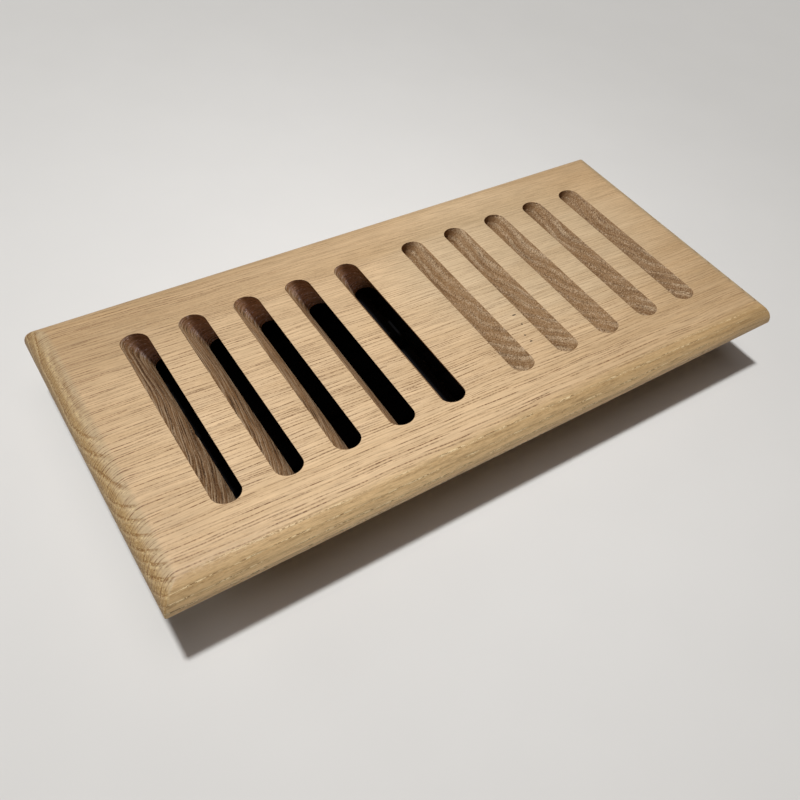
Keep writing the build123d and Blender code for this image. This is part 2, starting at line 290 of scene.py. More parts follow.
# Colours of the slot walls and of the slots' round ends, and casts that multiply them
WALL_PALE = paint(161, 126, 86)
WALL_DEEP = paint(147, 113, 75)
WALL_BAND = paint(212, 187, 152)
WALL_RAY = paint(190, 158, 124)
WALL_PORE_PALE = paint(220, 196, 166)
WALL_PORE_DARK = paint(92, 64, 42)
STRAND_PALE = paint(218, 191, 156)
STRAND_DARK = paint(80, 53, 30)
GRIT_PALE = paint(216, 189, 157)
GRIT_DARK = paint(104, 74, 48)
RIGHT_SLOTS_CAST = (0.84, 0.82, 0.8, 1.0)
LEFT_WALL_OUTER_CAST = (0.9, 0.81, 0.73, 1.0)
LEFT_WALL_INNER_CAST = (1.22, 1.11, 0.97, 1.0)
ROUND_LEFT_PAINTED_LIGHT = (1.35, 1.35, 1.75, 1.0)
ROUND_RIGHT_SCORCH_AND_SHADE = (0.78, 0.72, 0.68, 1.0)
ROUND_FOOT_CAST = (1.4, 1.75, 2.5, 1.0)


def oak_rings(graph, radius):
    """Rings, uneven in width: their soft porous band, its start and the wood after it."""
    uneven = graph.noise(graph.vector(radius * 0.11, 0.0, 0.0), 1.0) - 0.5
    phase = graph.math("FRACT", (radius + uneven * RING_UNEVEN) / RING_WIDTH)
    return {"early": graph.fade(phase, 0.0, 0.14) * (1 - graph.fade(phase, 0.3, 0.66)),
            "start": graph.fade(phase, 0.0, 0.06) * (1 - graph.fade(phase, 0.1, 0.27)),
            "after": graph.fade(phase, 0.22, 0.34) * (1 - graph.fade(phase, 0.42, 0.6))}


def oak_pores(graph, x, around, radius):
    """Pores, drawn out along the grain, and a random number for each."""
    cells = graph.vector(x / PORE_LENGTH, around / PORE_SPACING, radius / PORE_SPACING)
    pore = graph.node("ShaderNodeTexVoronoi", {"feature": "F1"}, {"Vector": cells, "Scale": 1.0})
    kind = graph.split(Wire(graph, pore.socket.node.outputs["Color"]))[0]
    return {"pores": 1 - graph.fade(pore, 0.26, 0.46), "pore_kind": kind}


def oak_rays(graph, x, around, radius, flat):
    """Rays, thin broken lines that fade where the surface lies along them."""
    place = around / RAY_SPACING
    cells = graph.vector(x / RAY_LENGTH, place, radius / RAY_DEPTH)
    ray = graph.node("ShaderNodeTexVoronoi", {"feature": "F1"}, {"Vector": cells, "Scale": 1.0}, "Position")
    kind = graph.split(Wire(graph, ray.socket.node.outputs["Color"]))[0]
    middle = graph.split(ray)[1]
    offset = graph.math("ABSOLUTE", place - middle) * RAY_SPACING
    broken = graph.noise(graph.vector(x * 0.09, middle * 3.7, radius * 0.1), 2.0, 0.6)
    dashes = graph.noise(graph.vector(x, middle * 5.3, radius * 0.6), 1.0)
    rays = 1 - graph.fade(offset, 0.3 * RAY_THICKNESS, 0.75 * RAY_THICKNESS)
    rays = rays * (kind * 0.7 + 0.35) * (graph.fade(broken, 0.3, 0.55) * 0.85 + 0.15)
    return rays * (graph.fade(dashes, 0.35, 0.6) * 0.5 + 0.5) * (1 - graph.fade(flat, 0.75, 0.95) * 0.85)


def oak_figure(graph):
    """Masks of the oak's figure: rings, pores, rays, fibres, grit, strands and broad drifts of colour."""
    place = graph.node("ShaderNodeVectorMath", {"operation": "SCALE"},
                       {"Vector": graph.place(), "Scale": 1 / MM})
    x, y, z = graph.split(place)
    lean_x, lean_y, lean_z = graph.split(graph.node("ShaderNodeTexCoord", None, None, "Normal"))

    # Distance from the pith, with slow sways, and the way round it
    aside = y - (x * PITH_DRIFT + PITH_Y)
    below = (FACE_HEIGHT + PITH_HEIGHT) - z
    reach = graph.math("SQRT", aside * aside + below * below)
    sway = graph.noise(graph.vector(x * 0.006, y * 0.035, z * 0.035), 1.0) - 0.5
    wobble = graph.noise(graph.vector(x * 0.02, y * 0.16, z * 0.16), 1.0) - 0.5
    bend = graph.noise(graph.vector(x * 0.03, y * 0.1, z * 0.1), 1.0) - 0.5
    radius = reach + sway * RING_SWAY + wobble * RING_WOBBLE
    around = graph.math("ARCTAN2", aside, below) * PITH_HEIGHT + bend * RAY_BEND

    # How far the surface lies along the rays and along the rings
    flat = graph.math("ABSOLUTE", (lean_y * below + lean_z * aside) / reach)
    tangent = graph.math("ABSOLUTE", (lean_y * aside - lean_z * below) / reach)

    return {**oak_rings(graph, radius), **oak_pores(graph, x, around, radius),
            "rays": oak_rays(graph, x, around, radius, flat),
            "fibres": graph.noise(graph.vector(x * 0.08, around * 1.5, radius * 1.5), 3.0, 0.7),
            "grit": graph.noise(graph.vector(x * 0.5, around * 2.1, radius * 2.1), 2.0, 0.75),
            "strands": graph.noise(graph.vector(x * 0.1, around * 0.05, radius * 1.5), 2.0, 0.6),
            "drift": graph.noise(graph.vector(x * 0.012, y * 0.05, z * 0.05), 2.0),
            "lean": (lean_x, lean_y, lean_z), "tangent": tangent, "place": (x, y, z)}


def oak_finish(graph, finish, figure, colour, roughness):
    """Fine fibre shading, relief and sheen shared by all faces of the board."""
    shade = figure["fibres"] * 0.7 + 0.65
    colour = graph.tint(1.0, colour, graph.vector(shade, shade, shade))
    height = figure["fibres"] * 0.4 - figure["pores"] * figure["early"] - figure["rays"] * 0.4
    bump = graph.node("ShaderNodeBump", None,
                      {"Strength": 0.4, "Distance": GRAIN_RELIEF * MM, "Height": height})
    rough = figure["pores"] * 0.15 + figure["fibres"] * 0.12 + roughness
    finish(Base_Color=colour, Roughness=rough, Normal=bump)


def specks(graph, place):
    """Mask of the dirt on the top face."""
    x, y, z = place
    dirt = 0.0
    for along, across, length, width in SPECKS:
        aside = (x - along) * (2 / length)
        ahead = (y - across) * (2 / width)
        dirt = dirt + (1 - graph.fade(aside * aside + ahead * ahead, 0.3, 1.2))
    return dirt * graph.fade(z, FACE_HEIGHT - 1.1, FACE_HEIGHT - 0.1)


def painted_sheen_depth(graph, x, y):
    """Painted sheen: how much deeper the board's colour is than at its palest spot, where the sheen is
    brightest, from 0 to about 1.
    """
    along = (x - SHEEN_X) * math.cos(SHEEN_TURN) + (y - SHEEN_Y) * math.sin(SHEEN_TURN)
    across = (y - SHEEN_Y) * math.cos(SHEEN_TURN) - (x - SHEEN_X) * math.sin(SHEEN_TURN)
    sides = graph.fade(across, 20.0, 130.0) + graph.fade(0 - across, 20.0, 150.0) * 0.4
    ends = graph.fade(along, 40.0, 280.0) * 0.65 + graph.fade(0 - along, 10.0, 70.0) * 0.5
    return sides + ends


def greyer_area(graph, x, y):
    """Mask of the greyer area."""
    along = (x - GREYER_X) / GREYER_LENGTH
    across = (y - GREYER_Y) / GREYER_WIDTH
    return 1 - graph.fade(along * along + across * across, 0.2, 1.3)


def planed_masks(graph, figure):
    """How far a planed face turns to an end or to the front, and where its grain is quiet."""
    x, y, _ = figure["place"]
    lean_x, lean_y, _ = figure["lean"]
    facing = graph.math("ABSOLUTE", lean_x)
    ahead = 0 - lean_y
    return {"facing": facing, "ahead": ahead,
            "end_grain": graph.fade(facing, 0.42, 0.75),
            "front_edge": graph.fade(ahead, 0.0, 0.5),
            "quiet": graph.fade(x * 0.009 + y * 0.012, -0.9, 1.3)}


def planed_tone(graph, figure, masks):
    """Colour of the planed faces without their marks."""
    x, y, _ = figure["place"]
    _, _, lean_z = figure["lean"]
    facing = masks["facing"]
    end_grain = masks["end_grain"]
    front_edge = masks["front_edge"]
    # Painted sheen that deepens away from the palest spot, with random drifts of the wood's tone
    deep = painted_sheen_depth(graph, x, y) + (figure["drift"] - 0.5) * 0.7
    colour = graph.mix(deep, FACE_PALE, FACE_DEEP)
    colour = graph.tint(greyer_area(graph, x, y), colour, GREYER_CAST)
    # Painted sheen: a greyish cream where the ends start to turn down
    colour = graph.mix(graph.fade(facing, 0.06, 0.3) * 0.65, colour, END_SHEEN_CREAM)
    colour = graph.mix(end_grain, colour, END_GRAIN)
    # Front edge: a golden cast with painted shade
    colour = graph.tint(front_edge, colour, EDGE_GOLD_AND_SHADE)
    # Painted light on the lower front edge, which lies in the lamp's shade
    colour = graph.tint(graph.fade(masks["ahead"], 0.7, 1.0), colour, EDGE_FOOT_PAINTED_LIGHT)
    # Painted light on the front edge's right half, taking back some of the painted sheen's fall-off there
    colour = graph.tint(front_edge * graph.fade(x, 0.0, 120.0), colour, EDGE_RIGHT_PAINTED_LIGHT)
    colour = graph.tint(graph.fade(facing, 0.82, 1.0), colour, END_FOOT_CAST)
    colour = graph.tint(end_grain * graph.fade(y, -10.0, 60.0), colour, END_BACK_CAST)
    # Painted shade: the underside darker than the oak, which also darkens the floor's shadow under the
    # board
    return graph.tint(graph.fade(0 - lean_z, 0.5, 0.9), colour, UNDERSIDE_SHADE_CAST)


def planed_marks(graph, figure, masks, colour):
    """Streaks, soft bands, dashes and rays over the colour of a planed face."""
    early = figure["early"]
    grit = figure["grit"]
    quiet = masks["quiet"]
    end_grain = masks["end_grain"]
    front_edge = masks["front_edge"]
    streaked = 1 - graph.fade(figure["fibres"], 0.34, 0.5)
    colour = graph.mix(streaked * front_edge * 0.3, colour, EDGE_STREAK)
    colour = graph.mix(early * (front_edge * 0.12 + end_grain * 0.3 + 0.1), colour, SOFT_BAND)
    turned = end_grain * 0.85 + front_edge * (1 - quiet) * 0.3 + 0.1
    dark_dash = graph.fade(grit, 0.54, 0.66)
    pale_dash = 1 - graph.fade(grit, 0.34, 0.46)
    colour = graph.mix(dark_dash * (early * 0.4 + 0.4) * turned, colour, DASH_DARK)
    colour = graph.mix(pale_dash * (early * 0.4 + 0.4) * turned, colour, DASH_PALE)
    shown = (1 - quiet * 0.6) * (1 - front_edge * 0.6)
    return graph.mix(figure["rays"] * shown, colour, FACE_RAY)


def end_strings(graph, figure, masks, colour):
    """Strings of pores and dust along the rings where the ends turn down."""
    grit = figure["grit"]
    strung = graph.fade(masks["facing"], 0.12, 0.4) * (1 - graph.fade(figure["tangent"], 0.8, 0.98) * 0.85)
    string = figure["start"] * (graph.fade(grit, 0.36, 0.6) * 0.6 + 0.15) * strung
    colour = graph.mix(string, colour, END_STRING)
    dusted = figure["after"] * graph.fade(grit, 0.4, 0.6) * strung
    colour = graph.mix(dusted * 0.4, colour, END_DUST)
    bead = graph.mix(graph.fade(figure["pore_kind"], 0.35, 0.55), END_PORE_PALE, END_PORE_DARK)
    return graph.mix(figure["pores"] * figure["early"] * strung * 0.45, colour, bead)


def edge_strings(graph, figure, masks, colour):
    """Broken strings of pale and dark dashes along the front edge."""
    dash = graph.mix(graph.fade(figure["grit"], 0.42, 0.54), EDGE_DARK, EDGE_PALE)
    gaps = graph.fade(figure["strands"], 0.44, 0.54) * 0.85 + 0.15
    string = figure["start"] * masks["front_edge"] * (1 - masks["quiet"] * 0.6) * gaps
    return graph.mix(string * 0.85, colour, dash)


def planed_oak():
    """Sanded faces of the board, dry and unfinished, with end grain where the ends turn down."""
    material, graph, finish = new_material("planed_oak", 0.4)
    figure = oak_figure(graph)
    masks = planed_masks(graph, figure)
    colour = planed_tone(graph, figure, masks)
    colour = planed_marks(graph, figure, masks, colour)
    colour = end_strings(graph, figure, masks, colour)
    colour = edge_strings(graph, figure, masks, colour)
    colour = graph.mix(specks(graph, figure["place"]) * 0.85, colour, FACE_DIRT)
    oak_finish(graph, finish, figure, colour, 0.46)
    return material


def routed_tone(graph, figure, left_wall):
    """Colour of the slot walls without their marks."""
    x, _, _ = figure["place"]
    colour = graph.mix(graph.fade(figure["drift"], 0.3, 0.7), WALL_PALE, WALL_DEEP)
    colour = graph.tint(graph.fade(x, 50.0, 120.0), colour, RIGHT_SLOTS_CAST)
    cast = graph.mix(graph.fade(x, -120.0, -60.0), LEFT_WALL_OUTER_CAST, LEFT_WALL_INNER_CAST)
    return graph.tint(left_wall, colour, cast)


def routed_marks(graph, figure, left_wall, plain, colour):
    """Pale bands, strands, grit, rays and pores over the colour of the slot walls."""
    grit = figure["grit"]
    patchy = graph.fade(figure["drift"], 0.38, 0.6) * 0.7 + 0.3
    band = figure["early"] * patchy * (graph.fade(grit, 0.35, 0.62) * 0.6 + 0.16)
    band = band + (figure["start"] * 0.75 - band) * left_wall
    colour = graph.mix(band * plain, colour, WALL_BAND)
    pale_strand = graph.fade(figure["strands"], 0.52, 0.61)
    dark_strand = 1 - graph.fade(figure["strands"], 0.38, 0.47)
    colour = graph.mix(pale_strand * (left_wall * 0.7 + 0.12) * plain, colour, STRAND_PALE)
    colour = graph.mix(dark_strand * (left_wall * 0.6 + 0.35) * plain, colour, STRAND_DARK)
    speckled = (0.85 - left_wall * 0.35) * plain
    colour = graph.mix((1 - graph.fade(grit, 0.32, 0.46)) * speckled, colour, GRIT_DARK)
    colour = graph.mix(graph.fade(grit, 0.54, 0.7) * speckled, colour, GRIT_PALE)
    colour = graph.mix(figure["rays"] * 0.3, colour, WALL_RAY)
    pore_colour = graph.mix(graph.fade(figure["pore_kind"], 0.45, 0.55), WALL_PORE_DARK, WALL_PORE_PALE)
    return graph.mix(figure["pores"] * (figure["early"] * 0.45 + 0.1), colour, pore_colour)


def routed_oak():
    """Slot walls: end grain burnished by the cutter, with plainer side grain round the slots' ends."""
    material, graph, finish = new_material("routed_oak", 0.3)
    figure = oak_figure(graph)
    x, _, z = figure["place"]
    lean_x, lean_y, _ = figure["lean"]
    left_wall = graph.fade(lean_x, -0.3, 0.3)
    side_grain = graph.fade(graph.math("ABSOLUTE", lean_y), 0.35, 0.95)
    colour = routed_tone(graph, figure, left_wall)
    colour = routed_marks(graph, figure, left_wall, 1 - side_grain * 0.7, colour)
    right_group = graph.fade(x, -10.0, 10.0)
    # Round slot ends: painted light on the left-hand slots' ends, which lie in shade; on the right-hand
    # ones darker, partly scorch from the cutter and partly painted shade
    colour = graph.tint(side_grain, colour, graph.mix(right_group, ROUND_LEFT_PAINTED_LIGHT, ROUND_RIGHT_SCORCH_AND_SHADE))
    far_end = graph.fade(0 - lean_y, 0.35, 0.95) * (1 - right_group)
    # Lighter and bluer towards the foot of the left-hand slots' far ends
    colour = graph.tint(far_end * graph.fade(FACE_HEIGHT - z, 2.0, 14.0), colour, ROUND_FOOT_CAST)
    oak_finish(graph, finish, figure, colour, 0.6)
    return material


def black_coat(name, dark, dusty, specular):
    """Black powder coat with a fine peel."""
    material, graph, finish = new_material(name, specular)
    place = graph.place()
    peel = graph.noise(place, 2.0, 0.5, 900)
    dust = graph.noise(place, 3.0, 0.6, 60)
    colour = graph.mix(graph.fade(dust, 0.45, 0.8), dark, dusty)
    bump = graph.node("ShaderNodeBump", None, {"Strength": 0.25, "Distance": 0.05 * MM, "Height": peel})
    finish(Base_Color=colour, Roughness=dust * 0.2 + 0.62, Normal=bump)
    return material


def plain_metal(name, colour, worn, roughness):
    """Bare or plated metal with drawing marks along X."""
    material, graph, finish = new_material(name, 0.5, {"Metallic": 1.0})
    place = graph.place()
    stretched = graph.node("ShaderNodeMapping", None, {"Vector": place, "Scale": (40, 1500, 1500)})
    marks = graph.noise(stretched, 3.0)
    patches = graph.noise(place, 3.0, 0.6, 180)
    tone = graph.mix(graph.fade(patches, 0.4, 0.7), colour, worn)
    finish(Base_Color=tone, Roughness=marks * 0.2 + patches * 0.15 + roughness)
    return material


def black_nylon():
    """Moulded black nylon."""
    material, graph, finish = new_material("black_nylon", 0.45)
    place = graph.place()
    grain = graph.noise(place, 2.0, 0.5, 1200)
    colour = graph.mix(grain, paint(30, 30, 32), paint(40, 40, 42))
    finish(Base_Color=colour, Roughness=grain * 0.15 + 0.4)
    return material


def link_object(name, data):
    """New object in the scene."""
    made = bpy.data.objects.new(name, data)
    bpy.context.scene.collection.objects.link(made)
    return made


def mesh_from(name, build):
    """Mesh of closed shells with outward faces, filled by a function on a bmesh."""
    shell = bmesh.new()
    build(shell)
    bmesh.ops.remove_doubles(shell, verts=shell.verts, dist=WELD)
    bmesh.ops.recalc_face_normals(shell, faces=shell.faces)
    mesh = bpy.data.meshes.new(name)
    shell.to_mesh(mesh)
    shell.free()
    return mesh


def loft(shell, rings):
    """Closed skin over rings of equally many points."""
    rows = [[shell.verts.new(point) for point in ring] for ring in rings]
    count = len(rows[0])
    for lower, upper in zip(rows, rows[1:]):
        for index in range(count):
            following = (index + 1) % count
            shell.faces.new((lower[index], lower[following], upper[following], upper[index]))
    shell.faces.new(rows[0][::-1])
    shell.faces.new(rows[-1])


def rounded_outline(half_length, half_width, corner, height):
    """Points of a rounded rectangle at one height."""
    points = []
    for turn, (along, across) in enumerate([(1, 1), (-1, 1), (-1, -1), (1, -1)]):
        for step in range(CORNER_STEPS + 1):
            angle = math.radians(90) * (turn + step / CORNER_STEPS)
            points.append((along * (half_length - corner) + corner * math.cos(angle),
                           across * (half_width - corner) + corner * math.sin(angle), height))
    return points


def board_blank():
    """Board with its rounded rim and rebated core, before the slots are cut."""
    half_length = board_high.x
    half_width = board_high.y

    def build(shell):
        rings = []
        for inset, height in ((ARRIS, board_low.z), (0.0, board_low.z + ARRIS), (0.0, rim_bottom)):
            core = (CORE_LENGTH / 2 - inset, CORE_WIDTH / 2 - inset)
            rings.append(rounded_outline(*core, CORE_CORNER, height))
        rings.append(rounded_outline(half_length - ARRIS, half_width - ARRIS, CORNER_EASE, rim_bottom))
        rings.append(rounded_outline(half_length, half_width, CORNER_EASE, rim_bottom + ARRIS))
        for step in range(EDGE_STEPS + 1):
            angle = math.radians(90) * step / EDGE_STEPS
            inset = EDGE_RADIUS * (1 - math.cos(angle))
            height = board_high.z - EDGE_RADIUS * (1 - math.sin(angle))
            rings.append(rounded_outline(half_length - inset, half_width - inset, CORNER_EASE, height))
        loft(shell, rings)

    return link_object("board_blank", mesh_from("board_blank", build))


def slot_outline(depth, ease):
    """Round-ended outline that the tilted cutter leaves at a depth, for a slot whose foot leans to -X."""
    half_straight = (SLOT_LENGTH - CUTTER_WIDTH) / 2
    end_radius = CUTTER_WIDTH / 2 + ease
    half_opening = end_radius / math.cos(SLOT_SLANT)
    shift = -depth * math.tan(SLOT_SLANT)
    points = []
    for end in (1, -1):
        for step in range(SLOT_END_STEPS + 1):
            angle = math.radians(180) * step / SLOT_END_STEPS
            points.append((end * half_opening * math.cos(angle) + shift,
                           end * (half_straight + end_radius * math.sin(angle)), board_high.z - depth))
    return points


def slot_cutter():
    """Solid that one slot removes, with its arrises eased at both faces."""
    thickness = board_high.z - board_low.z
    steps = [math.radians(90) * step / ARRIS_STEPS for step in range(ARRIS_STEPS + 1)]
    levels = [(-OVERCUT, SLOT_ARRIS)]
    levels += [(SLOT_ARRIS * (1 - math.cos(angle)), SLOT_ARRIS * (1 - math.sin(angle))) for angle in steps]
    levels += [(thickness - depth, ease) for depth, ease in reversed(levels)]

    def build(shell):
        loft(shell, [slot_outline(depth, ease) for depth, ease in levels])

    return link_object("slot_cutter", mesh_from("slot_cutter", build))


def chip_cutters():
    """Ragged splinters at the foot of some left-hand slot walls."""
    draw = random.Random(CHIP_SEED)
    thickness = board_high.z - board_low.z
    wall_foot = thickness * math.tan(SLOT_SLANT) - CUTTER_WIDTH / 2 / math.cos(SLOT_SLANT)

    def build(shell):
        for number, across, length in CHIPS:
            centre = -(MIDDLE_PITCH / 2 + (SLOTS_PER_GROUP - number) * SLOT_PITCH)
            size = Matrix.Diagonal((length * CHIP_DEPTH, length, length * CHIP_HEIGHT, 1.0))
            where = Matrix.Translation((centre + wall_foot, across, board_low.z))
            ball = bmesh.ops.create_icosphere(shell, subdivisions=2, radius=0.5, matrix=where @ size)
            middle = where.to_translation()
            for vert in ball["verts"]:
                vert.co = middle + (vert.co - middle) * draw.uniform(*CHIP_RAGGED)

    return link_object("chip_cutters", mesh_from("chip_cutters", build))


def new_geometry_tree(name, inputs):
    """Geometry tree with named inputs, its graph, its input wires and its modifier's socket names."""
    tree = bpy.data.node_groups.new(name, "GeometryNodeTree")
    tree.interface.new_socket("Geometry", in_out="OUTPUT", socket_type="NodeSocketGeometry")
    names = {}
    for label, kind in [("Geometry", "Geometry")] + inputs:
        socket = tree.interface.new_socket(label, in_out="INPUT", socket_type=f"NodeSocket{kind}")
        names[label] = socket.identifier
    graph = Graph(tree)
    source = tree.nodes.new("NodeGroupInput")
    wires = {socket.name: Wire(graph, socket) for socket in source.outputs if socket.name}
    return tree, graph, wires, names


def end_tree(graph, geometry):
    """Links the tree's result to its output."""
    sink = graph.tree.nodes.new("NodeGroupOutput")
    graph.tree.links.new(geometry.socket, sink.inputs[0])


def add_tree(target, tree, names, values):
    """Modifier that runs the tree, with its inputs set by their identifiers."""
    modifier = target.modifiers.new(tree.name, "NODES")
    modifier.node_group = tree
    for label, value in values.items():
        modifier[names[label]] = value


def settled(target, name):
    """Plain mesh object of a piece with its modifiers run."""
    bpy.context.view_layer.update()
    mesh = bpy.data.meshes.new_from_object(target.evaluated_get(bpy.context.evaluated_depsgraph_get()))
    mesh.name = name
    bpy.data.objects.remove(target)
    return link_object(name, mesh)


def shade_by_angle(graph, geometry):
    """Smooth faces with sharp edges where the surface turns hard."""
    smooth = graph.node("GeometryNodeSetShadeSmooth", {"domain": "FACE"},
                        {0: geometry, "Shade Smooth": True})
    angle = graph.node("GeometryNodeInputMeshEdgeAngle")
    hard = graph.math("GREATER_THAN", angle, SHARP_ANGLE)
    return graph.node("GeometryNodeSetShadeSmooth", {"domain": "EDGE"},
                      {0: smooth, "Selection": hard, "Shade Smooth": False})


def slotting_tree():
    """Cuts both groups of slots, and the chips, out of a board."""
    inputs = [("Cutter", "Object"), ("Chips", "Object"), ("Slots per group", "Int"), ("Pitch", "Float"),
              ("Middle pitch", "Float"), ("Face", "Material"), ("Wall", "Material")]
    tree, graph, wires, names = new_geometry_tree("cut_slots", inputs)
    cutter = graph.node("GeometryNodeObjectInfo", None, {"Object": wires["Cutter"]}, "Geometry")
    chips = graph.node("GeometryNodeObjectInfo", None, {"Object": wires["Chips"]}, "Geometry")
    first = graph.vector(wires["Middle pitch"] / 2, 0.0, 0.0)
    step = graph.vector(wires["Pitch"], 0.0, 0.0)
    row = graph.node("GeometryNodeMeshLine", {"mode": "OFFSET"},
                     {"Count": wires["Slots per group"], "Start Location": first, "Offset": step})
    right = graph.node("GeometryNodeInstanceOnPoints", None, {"Points": row, "Instance": cutter})
    left = graph.node("GeometryNodeTransform", None, {"Geometry": right, "Rotation": (0.0, 0.0, math.pi)})
    cutters = graph.node("GeometryNodeJoinGeometry", None, {"Geometry": [right, left, chips]})
    cutters = graph.node("GeometryNodeRealizeInstances", None, {"Geometry": cutters})
    marked = graph.node("GeometryNodeStoreNamedAttribute", {"data_type": "BOOLEAN", "domain": "FACE"},
                        {"Geometry": cutters, "Name": "cut_wall", "Value": True})
    faced = graph.node("GeometryNodeSetMaterial", None,
                       {"Geometry": wires["Geometry"], "Material": wires["Face"]})
    board = graph.node("GeometryNodeMeshBoolean", {"operation": "DIFFERENCE", "solver": "EXACT"},
                       {"Mesh 1": faced, "Mesh 2": marked, "Self Intersection": True})
    board = shade_by_angle(graph, board)
    board = graph.node("GeometryNodeRealizeInstances", None, {"Geometry": board})
    wall = graph.node("GeometryNodeInputNamedAttribute", {"data_type": "BOOLEAN"}, {"Name": "cut_wall"})
    board = graph.node("GeometryNodeSetMaterial", None,
                       {"Geometry": board, "Selection": wall, "Material": wires["Wall"]})
    end_tree(graph, board)
    return tree, names


def face_board():
    """The oak board with its slots."""
    cutter = slot_cutter()
    chips = chip_cutters()
    board = board_blank()
    tree, names = slotting_tree()
    add_tree(board, tree, names, {
        "Cutter": cutter, "Chips": chips, "Slots per group": SLOTS_PER_GROUP, "Pitch": SLOT_PITCH,
        "Middle pitch": MIDDLE_PITCH, "Face": planed_oak(), "Wall": routed_oak()})
    board = settled(board, "face_board")
    bpy.data.objects.remove(cutter)
    bpy.data.objects.remove(chips)
    return board


# Blind rivets at the frame's corners and pan-head screws in its flanges, with +Z out of the seat
RIVET_RADIUS = 1.6 * MM
RIVET_GRIP = 2.0 * MM
RIVET_TAIL = 0.5 * MM
RIVET_HEAD_RADIUS = 3.0 * MM
RIVET_HEAD = 1.1 * MM
RIVET_RIM = 0.25 * MM
MANDREL_RADIUS = 0.75 * MM
MANDREL_SUNK = 0.5 * MM
MANDREL_BREAK = 0.8 * MANDREL_RADIUS
MANDREL_NIB = 0.5 * MANDREL_RADIUS
RIVET_FLAT = 1.4 * MANDREL_RADIUS
SCREW_RADIUS = 1.7 * MM
SCREW_ROOT = 1.2 * MM
SCREW_PITCH = 1.5 * MM
SCREW_LENGTH = 12.0 * MM
SCREW_POINT = 3.0 * MM
SCREW_HEAD_RADIUS = 3.4 * MM
SCREW_HEAD = 2.0 * MM
SCREW_RIM = 0.6 * MM
RECESS_REACH = 1.9 * MM
RECESS_WIDTH = 0.75 * MM
RECESS_DEPTH = 1.3 * MM
TURN_STEPS = 32
DOME_STEPS = 6
THREAD_STEPS = 12

# Shares: of the screw's radius at its tip, of the pitch under its ridge, of the recess's size at its foot
SCREW_TIP = 0.15
SCREW_RIDGE = 0.5
RECESS_FOOT = 0.5

# Seeds of the random turns that the fasteners are set at
RIVET_SEED = 3
SCREW_SEED = 5


def circle(radius, height):
    """Points of a circle about Z."""
    turns = [math.tau * step / TURN_STEPS for step in range(TURN_STEPS)]
    return [(radius * math.cos(turn), radius * math.sin(turn), height) for turn in turns]


def dome(middle, rim, low, high):
    """Circles over a rounded head, from its rim to the flat at its middle."""
    angles = [math.radians(90) * step / DOME_STEPS for step in range(DOME_STEPS + 1)]
    return [circle(middle + (rim - middle) * math.cos(angle), low + (high - low) * math.sin(angle))
            for angle in angles]


def blind_rivet():
    """Blind rivet with its broken-off mandrel sunk in the head."""
    foot = -RIVET_GRIP - RIVET_TAIL
    tail_radius = RIVET_RADIUS + RIVET_TAIL
    sunk = RIVET_HEAD - MANDREL_SUNK
    outline = [(MANDREL_RADIUS, foot), (RIVET_RADIUS, foot), (tail_radius, foot + RIVET_TAIL / 2),
               (tail_radius, -RIVET_GRIP), (RIVET_RADIUS, -RIVET_GRIP), (RIVET_RADIUS, 0.0)]
    outline.append((RIVET_HEAD_RADIUS, 0.0))
    pit = [(MANDREL_RADIUS, RIVET_HEAD - MANDREL_SUNK / 4), (MANDREL_RADIUS, sunk),
           (MANDREL_BREAK, sunk), (MANDREL_NIB, sunk + MANDREL_SUNK / 3)]

    def build(shell):
        rings = [circle(*place) for place in outline]
        rings += dome(RIVET_FLAT, RIVET_HEAD_RADIUS, RIVET_RIM, RIVET_HEAD)
        loft(shell, rings + [circle(*place) for place in pit])

    return link_object("blind_rivet", mesh_from("blind_rivet", build))


def thread_ring(height):
    """Points round the screw's threaded shank at a height below its seat."""
    taper = min(1.0, SCREW_TIP + (1 - SCREW_TIP) * (height + SCREW_LENGTH) / SCREW_POINT)
    points = []
    for step in range(TURN_STEPS):
        share = step / TURN_STEPS
        ridge = max(0.0, 1 - 2 / SCREW_RIDGE * abs((height / SCREW_PITCH - share) % 1.0 - 0.5))
        radius = taper * (SCREW_ROOT + (SCREW_RADIUS - SCREW_ROOT) * ridge)
        points.append((radius * math.cos(math.tau * share), radius * math.sin(math.tau * share), height))
    return points


def cross_outline(size, height):
    """Points of a plus sign at a height, for the recess."""
    reach = RECESS_REACH * size
    half = RECESS_WIDTH / 2 * size
    arm = [(half, half), (half, reach), (-half, reach)]
    quarters = [Matrix.Rotation(math.radians(90) * turn, 2) for turn in range(4)]
    return [(*(quarter @ Vector(point)), height) for quarter in quarters for point in arm]


def pan_head_screw():
    """Wood screw with a threaded shank and a cross recess in its head."""
    rounds = round(SCREW_LENGTH / SCREW_PITCH * THREAD_STEPS)

    def build(shell):
        rings = [thread_ring(-SCREW_LENGTH * (1 - step / rounds)) for step in range(rounds + 1)]
        rings.append(circle(SCREW_HEAD_RADIUS, 0.0))
        loft(shell, rings + dome(RECESS_WIDTH, SCREW_HEAD_RADIUS, SCREW_RIM, SCREW_HEAD))

    def build_recess(shell):
        loft(shell, [cross_outline(RECESS_FOOT, SCREW_HEAD - RECESS_DEPTH), cross_outline(1.0, SCREW_HEAD),
                     cross_outline(1.0, SCREW_HEAD + OVERCUT)])

    screw = link_object("pan_head_screw", mesh_from("pan_head_screw", build))
    recess = link_object("recess", mesh_from("recess", build_recess))
    cut = screw.modifiers.new("recess", "BOOLEAN")
    cut.object = recess
    cut.solver = "EXACT"
    screw = settled(screw, "pan_head_screw")
    bpy.data.objects.remove(recess)
    return screw


